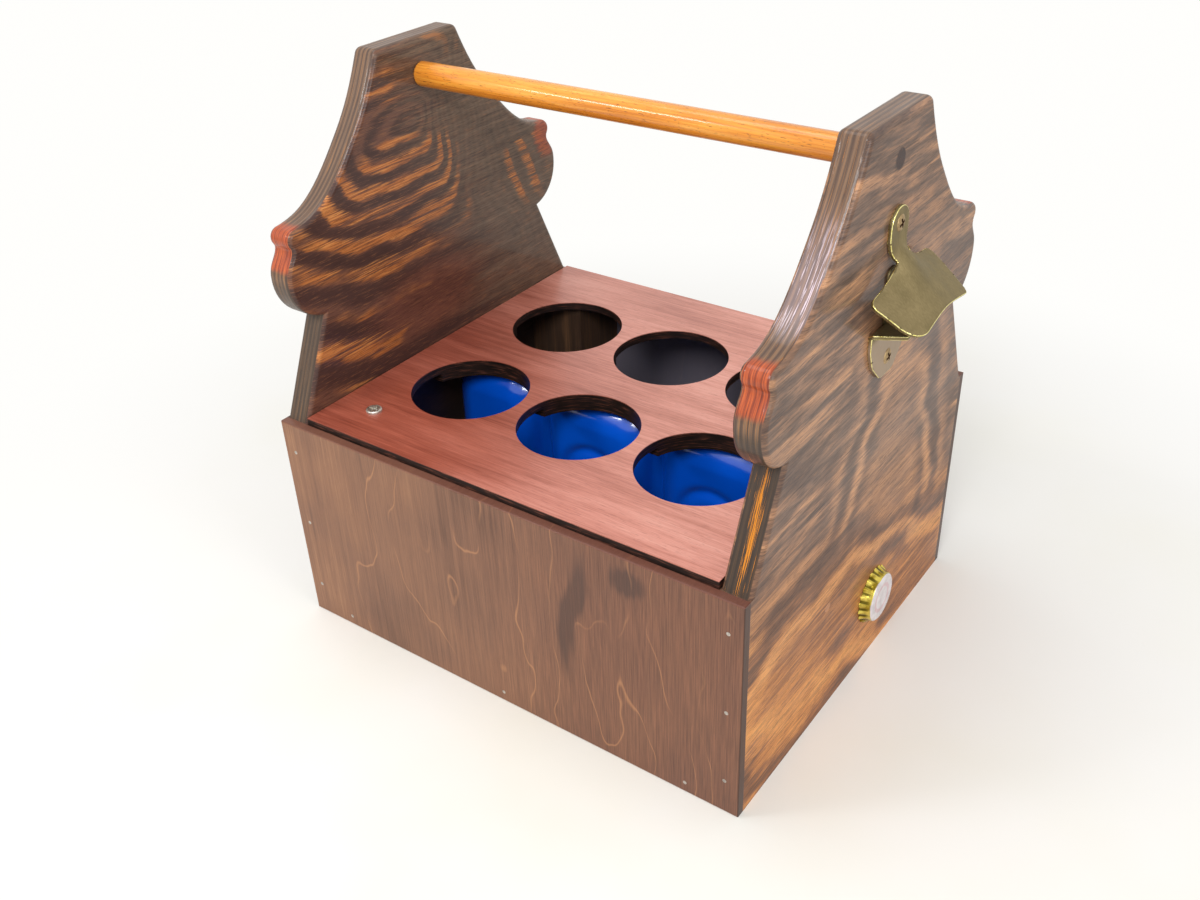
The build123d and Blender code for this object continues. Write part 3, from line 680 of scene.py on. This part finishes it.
hood_half = [(neck_start - (ear_top - neck_top), ear_half, 8.6), (neck_start + 2, ear_half - 0.4, 4.0),
             (neck_end, neck_half, 0.7), (0.0, root_half, 3.0), (hood_reach, lip_half, 2.5)]
worn_half = hood_half[:-1] + [(hood_reach, lip_half, 11.0)]
pressed("opener_hood", hood_half, worn_half, (0.7, 1.1), hood_point, opener_sheet, 0.34, buffed_brass,
        ("bottle_opener",))

shield_half = 19.0
shelf_level = 205.5
shelf_half = 12.0
shelf_depth = 15.0
shelf_bend = 1.6
tooth_half = 4.5
tooth_height = 2.9
tooth_bend = 1.2
slit = 0.7
bend_start = shelf_level - sheet_middle - shelf_bend - opener_foot
bend_end = bend_start + shelf_bend * pi / 2
shelf_end = bend_end + shelf_depth - sheet_middle - shelf_bend
tooth_start = shelf_end - sheet_middle - tooth_bend
tooth_end = tooth_start + tooth_bend * pi / 2


def shield_point(rise, across):
    """Where a point of the flat shield blank goes when its shelf and tooth are bent."""
    y = opener_y + across
    shelf_x = wall_x + shelf_bend
    shelf_z = shelf_level - sheet_middle
    if rise <= bend_start:
        return wall_x, y, opener_foot + rise
    if rise <= bend_end:
        turn = (rise - bend_start) / shelf_bend
        return wall_x + shelf_bend * (1 - cos(turn)), y, opener_foot + bend_start + shelf_bend * sin(turn)
    if rise <= tooth_start or abs(across) > tooth_half + 0.3:
        return shelf_x + rise - bend_end, y, shelf_z
    root = shelf_x + tooth_start - bend_end
    if rise <= tooth_end:
        turn = (rise - tooth_start) / tooth_bend
        return root + tooth_bend * sin(turn), y, shelf_z + tooth_bend * (1 - cos(turn))
    return root + tooth_bend, y, shelf_z + tooth_bend + rise - tooth_end


shield_blank = [
    (0, 6.5, 5.0), (9.0, 15.6, 10.0), (18.0, shield_half, 3.0), (bend_end, shield_half, 0.6),
    (shelf_end, shelf_half, 1.2), (shelf_end, tooth_half + slit, 0),
    (tooth_start - 0.3, tooth_half + slit, 0), (tooth_start - 0.3, tooth_half, 0),
    (tooth_end + tooth_height, tooth_half, 0.8)]
pressed("opener_shield", shield_blank, shield_blank, (0.4, 2.0), shield_point, opener_sheet, 0.28,
        buffed_brass)

strap_sheet = 1.0
strap_half = 5.4
strap_foot = 203.0
strap_top = 230.0
strap_blank = [(strap_foot, strap_half, 1.0), (strap_top, strap_half, 4.0)]


def strap_point(level, across):
    """The strap behind the hood is flat on the wall."""
    return outer_x + strap_sheet / 2, opener_y + across, level


pressed("opener_strap", strap_blank, strap_blank, (), strap_point, strap_sheet, 0.3, opener_brass)


# OPENER SCREWS
# Brass wood screws with a low oval head and a cross recess.
# the cross recess is painted dark brown as painted shade
recess_shade_brass = plain_metal("screw_recess_shade", stain(76, 50, 34), stain(40, 26, 20), 0.5)
head_radius = 3.8
recess_depth = 1.1
recess_arm_share = 0.15
recess_reach_share = 0.6
recess_turn = 20
recess_cut = 0.19
screw_profile = [(0.95, 0.0), (0.93, 0.6), (0.86, 1.4), (0.7, 2.3), (0.45, 3.1), (0.12, 3.75),
                 (-0.1, head_radius), (-1.5, 1.8), (-11.0, 1.7), (-12.0, 0.4), (-12.2, 0.0)]


def turned(profile, steps, cuts_above=None):
    """Spins a profile of places along X and radii, with finer steps above a place if asked."""
    shape = bmesh.new()
    line = [shape.verts.new((x, radius, 0)) for x, radius in profile]
    for first, second in zip(line, line[1:]):
        shape.edges.new((first, second))
    if cuts_above is not None:
        head = [edge for edge in shape.edges if min(vert.co.x for vert in edge.verts) > cuts_above]
        bmesh.ops.subdivide_edges(shape, edges=head, cuts=3)
    bmesh.ops.spin(shape, geom=shape.verts[:] + shape.edges[:], cent=(0, 0, 0), axis=(1, 0, 0),
                   dvec=(0, 0, 0), angle=2 * pi, steps=steps, use_merge=True)
    bmesh.ops.remove_doubles(shape, verts=shape.verts[:], dist=1e-4)
    return shape


def cross_recess(shape):
    """Presses a cross into the middle of a head whose top faces +X; its faces take the painted-shade finish.
    """
    for vert in shape.verts:
        y, z = abs(vert.co.y), abs(vert.co.z)
        arm = min(y, z) < head_radius * recess_arm_share and max(y, z) < head_radius * recess_reach_share
        if arm and vert.co.x > 0.2:
            vert.co.x -= recess_depth * (1 - max(y, z) / head_radius * 0.8)
            for face in vert.link_faces:
                face.material_index = 1


for end in ("top", "bottom"):
    shape = turned(screw_profile, 64, cuts_above=0.4)
    bmesh.ops.recalc_face_normals(shape, faces=shape.faces[:])
    slice_up(shape, 1, recess_cut)
    slice_up(shape, 2, recess_cut)
    cross_recess(shape)
    turn = Matrix.Rotation(radians(recess_turn), 3, "X")
    bmesh.ops.rotate(shape, cent=(0, 0, 0), matrix=turn, verts=shape.verts)
    seat = (outer_x + opener_sheet, opener_y, middle(f"opener_screw_{end}", 2))
    bmesh.ops.translate(shape, vec=seat, verts=shape.verts)
    finished(f"opener_oval_screw_{end}", shape, (screw_brass, recess_shade_brass), "caddy",
             (f"opener_screw_{end}",))


# CROWN CAP
# Pressed tinplate, gold on the crimped skirt, with a white lacquered face. A magnet
# in the wood holds it on the panel.
cap_y = middle("cap_liner", 1)
cap_level = middle("cap_liner", 2)
cap_flutes = 21
face_radius = 13.0
ring_radius = 7.4
skirt_height = 4.6
crimp_depth = 0.62
tinplate = 0.3
cap_profile = [(5.75, 0.0), (5.8, 5.0), (5.95, 9.5), (6.0, 11.6), (5.85, 12.4), (5.4, 13.05),
               (4.7, 13.45), (4.0, 13.7), (3.3, 13.95), (2.6, 14.3), (1.8, 14.75), (1.0, 15.25),
               (0.3, 15.65), (0.15, 15.75)]

cap = Finish("cap_gold", Coat_Roughness=0.1)
from_middle = cap.reach(cap.y - cap_y, cap.z - cap_level)
smudge = cap.grain((5, 5, 5), detail=3)
face = cap.rise(from_middle + (smudge - 0.5) * 0.8, face_radius + 0.2, face_radius - 0.2)
face = face * cap.rise(cap.x, outer_x + skirt_height, outer_x + skirt_height + 0.3)
ring = cap.rise(abs(from_middle - ring_radius), 1.4, 0.7)
lacquer = cap.ramp(smudge, (0.3, stain(196, 188, 192)), (0.7, stain(226, 220, 224)))
lacquer = cap.mix(ring * 0.4, lacquer, stain(208, 132, 140))
angle = maths("ARCTAN2", cap.z - cap_level, cap.y - cap_y)
flute = maths("COSINE", angle * cap_flutes)
# painted shade in the valleys between the crimps of the skirt
valley_shade = cap.rise(flute + (smudge - 0.5) * 1.2, 0.1, -0.8)
valley_shade = valley_shade * cap.rise(from_middle, face_radius + 0.2, face_radius + 0.9)
gold = cap.ramp(smudge, (0.35, stain(146, 122, 34)), (0.6, stain(222, 200, 96)))
gold = cap.mix(valley_shade * 0.85, gold, stain(74, 64, 12))
cap_gold = cap.wear(Base_Color=cap.mix(face, gold, lacquer), Metallic=1 - face,
                    Roughness=cap.rise(smudge, 0.3, 0.7, 0.14, 0.26), Coat_Weight=face * 0.6,
                    Normal=cap.bump(smudge, 0.04))

shape = turned(cap_profile, cap_flutes * 10)
for vert in shape.verts:
    radius = hypot(vert.co.y, vert.co.z)
    wave = cos(cap_flutes * atan2(vert.co.z, vert.co.y))
    down_skirt = max(0.0, (skirt_height - vert.co.x) / skirt_height) ** 1.3
    crimp = down_skirt * (crimp_depth * wave + 0.12 * wave * wave - 0.3)
    swell = 1 + crimp / radius if radius > face_radius - 0.1 else 1
    vert.co = (outer_x + vert.co.x, cap_y + vert.co.y * swell, cap_level + vert.co.z * swell)
bmesh.ops.recalc_face_normals(shape, faces=shape.faces[:])
crown_cap = finished("crown_cap_pressed", shape, (cap_gold, cap_gold), "cap_body", ("crown_cap",))
add_wall(crown_cap, tinplate, -1)

liner_plastic = even_finish("liner_plastic", 3, (0.3, stain(190, 190, 186)), (0.7, stain(222, 222, 216)),
                            (0.4, 0.55))
dress(liner_plastic, "cap_liner")


# COLD PACK
# A blow-moulded bottle of glossy blue polyethylene, made as a row of pillows with
# webs between them, a ring groove in each wide one, and a screwed filler cap.
pack = Finish("pack_blue", Coat_Roughness=0.06)
skin = pack.grain((30, 30, 30), detail=1)
dimple = pack.grain((0.9, 0.9, 0.9), detail=2)
colour = pack.ramp(skin, (0.3, stain(0, 86, 220)), (0.7, stain(2, 94, 230)))
pack_blue = pack.wear(Base_Color=colour, Roughness=pack.rise(skin, 0.3, 0.7, 0.16, 0.26),
                      Coat_Weight=pack.rise(dimple, 0.3, 0.7, 0.8, 1.0), Normal=pack.bump(dimple, 0.006))

(_, _, pack_foot), (pack_half_length, pack_half_thickness, pack_top) = corners("cold_pack")
pack_middle = (pack_foot + pack_top) / 2
pack_half_height = (pack_top - pack_foot) / 2
pack_corner = 14.0
web_half_thickness = 2.4
web_roll = 3.0
pillows = ((-pack_half_length, -57.6), (-52.4, 18.1), (23.3, 93.8), (99.0, pack_half_length))
pillow_corner = 19.0
pillow_roll = 15.0
wide_half = 33
groove_level = 70.0
groove_radius = 19.0
groove_depth = 2.4
groove_half_width = 3.0
rim_rings = (0.25, 0.6, 1.0, 1.4, 1.8, 2.0, 2.2)


def rolled_edge(x, z, centre, half, corner, roll):
    """From 0 at the edge of a rounded oblong to 1 where its side is flat."""
    past_x = abs(x - centre) - (half - corner)
    past_z = abs(z - pack_middle) - (pack_half_height - corner)
    inside = corner - hypot(max(past_x, 0), max(past_z, 0)) - min(max(past_x, past_z), 0)
    near = 1 - min(max(inside, 0) / roll, 1)
    return (1 - near ** 1.6) ** 0.6


def pack_depth(x, z):
    """Half the pack's thickness at a place on its side."""
    depth = web_half_thickness * rolled_edge(x, z, 0, pack_half_length, pack_corner, web_roll)
    for start, end in pillows:
        half = (end - start) / 2
        centre = (start + end) / 2
        if abs(x - centre) < half:
            corner = min(pillow_corner, half - 0.5)
            full = pack_half_thickness * rolled_edge(x, z, centre, half, corner, pillow_roll)
            if half > wide_half:
                from_groove = hypot(x - centre, z - groove_level) - groove_radius
                full -= groove_depth * exp(-(from_groove / groove_half_width) ** 2)
            depth = max(depth, full)
    return depth


shape = flat_outline([(side * pack_half_length, pack_middle + up * pack_half_height, pack_corner)
                      for side, up in ((-1, -1), (1, -1), (1, 1), (-1, 1))])
for ring_width in rim_rings:
    largest = max(shape.faces, key=lambda face: face.calc_area())
    bmesh.ops.inset_region(shape, faces=[largest], thickness=ring_width, use_even_offset=True)
slice_up(shape, 0, 1.2)
slice_up(shape, 1, 1.2)
for vert in shape.verts:
    x, z = vert.co.x, vert.co.y
    vert.co = (x, -pack_depth(x, z), z)
copied = bmesh.ops.duplicate(shape, geom=shape.verts[:] + shape.edges[:] + shape.faces[:])["geom"]
back_verts = [part for part in copied if isinstance(part, bmesh.types.BMVert)]
bmesh.ops.scale(shape, vec=(1, -1, 1), verts=back_verts)
bmesh.ops.remove_doubles(shape, verts=shape.verts[:], dist=1e-3)
bmesh.ops.recalc_face_normals(shape, faces=shape.faces[:])
finished("cold_pack_moulded", shape, (pack_blue,), "cold_pack_body", ("cold_pack",))

pack_cap_white = even_finish("pack_cap_white", 1.5, (0.3, stain(222, 224, 226)), (0.7, stain(240, 241, 240)),
                             (0.35, 0.5))
dress(pack_cap_white, "pack_filler_cap")


# TABLE AND ROOM
# A pale painted table in a bright room. Far from the object the table turns into
# the same plain white as the room.
table_half = 3.0
shape = bmesh.new()
table_corners = [(x * table_half, y * table_half, 0) for x, y in ((-1, -1), (1, -1), (1, 1), (-1, 1))]
shape.faces.new([shape.verts.new(corner) for corner in table_corners])
mesh = bpy.data.meshes.new("table_top")
shape.to_mesh(mesh)
shape.free()
table = bpy.data.objects.new("table_top", mesh)
bpy.context.scene.collection.objects.link(table)
paint = Finish("table_top", Roughness=0.6, Specular_IOR_Level=0.2)
smear = paint.grain((260, 260, 260), detail=4)
paint.wear(Base_Color=paint.mix(paint.rise(smear, 0.4, 0.75), stain(244, 243, 240), stain(240, 238, 228)))
far_off = paint.rise(paint.reach(paint.x, paint.y), 200, 520)
by_camera = paint.add("ShaderNodeLightPath")
white = paint.add("ShaderNodeEmission", inputs={"Color": (1, 0.995, 0.975, 1), "Strength": 1.0})
painted = Value(paint, paint.shader.outputs[0])
both = paint.add("ShaderNodeMixShader", inputs={0: far_off * by_camera, 1: painted, 2: white})
paint.link(both, paint.tree.nodes["Material Output"].inputs["Surface"])
mesh.materials.append(paint.material)

world = bpy.data.worlds.new("room")
bpy.context.scene.world = world
world.use_nodes = True
room = Nodes(world.node_tree)
background = world.node_tree.nodes["Background"]
background.inputs["Color"].default_value = (1.0, 0.99, 0.97, 1)
by_camera = room.add("ShaderNodeLightPath", output="Is Camera Ray")
by_gloss = room.add("ShaderNodeLightPath", output="Is Glossy Ray")
room.link(maths("MAXIMUM", by_camera, by_gloss) * 0.5 + 0.5, background.inputs["Strength"])


# LAMPS
# Three broad soft lamps, and a narrow one at the left whose shine runs along the
# cold pack.
def lamp(name, place, aim, size, watts):
    light = bpy.data.lights.new(name, "AREA")
    light.shape = "RECTANGLE"
    light.size, light.size_y = size
    light.energy = watts
    holder = bpy.data.objects.new(name, light)
    holder.location = place
    holder.rotation_euler = (Vector(aim) - Vector(place)).to_track_quat("-Z", "Y").to_euler()
    bpy.context.scene.collection.objects.link(holder)


lamp("front_lamp", (0.45, -1.0, 1.15), (0, 0, 0.1), (0.5, 0.5), 11)
lamp("top_lamp", (-0.35, -0.1, 1.7), (0, 0, 0.1), (0.8, 0.8), 6)
lamp("strip_lamp", (-0.49, -0.62, 0.68), (-0.49, 0, 0.115), (0.26, 0.1), 1.6)
lamp("right_lamp", (1.4, -0.3, 0.6), (0, 0, 0.15), (0.6, 0.6), 4)


# CAMERA
# Its place, turn and lens were worked out from the box's corners, the holes and the bar.
camera_data = bpy.data.cameras.new("camera")
camera_data.sensor_width = 36
camera_data.lens = 36.61
camera_data.clip_start = 0.01
camera = bpy.data.objects.new("camera", camera_data)
bpy.context.scene.collection.objects.link(camera)
camera.location = (0.32324, -0.45757, 0.44779)
camera.rotation_mode = "QUATERNION"
axis_angle = Vector((2.067, 0.64, -0.399))
right, down, ahead = Matrix.Rotation(axis_angle.length, 3, axis_angle.normalized())
camera.rotation_quaternion = Matrix((right, -down, -ahead)).transposed().to_quaternion()
bpy.context.scene.camera = camera
bpy.context.scene.view_settings.view_transform = "Standard"
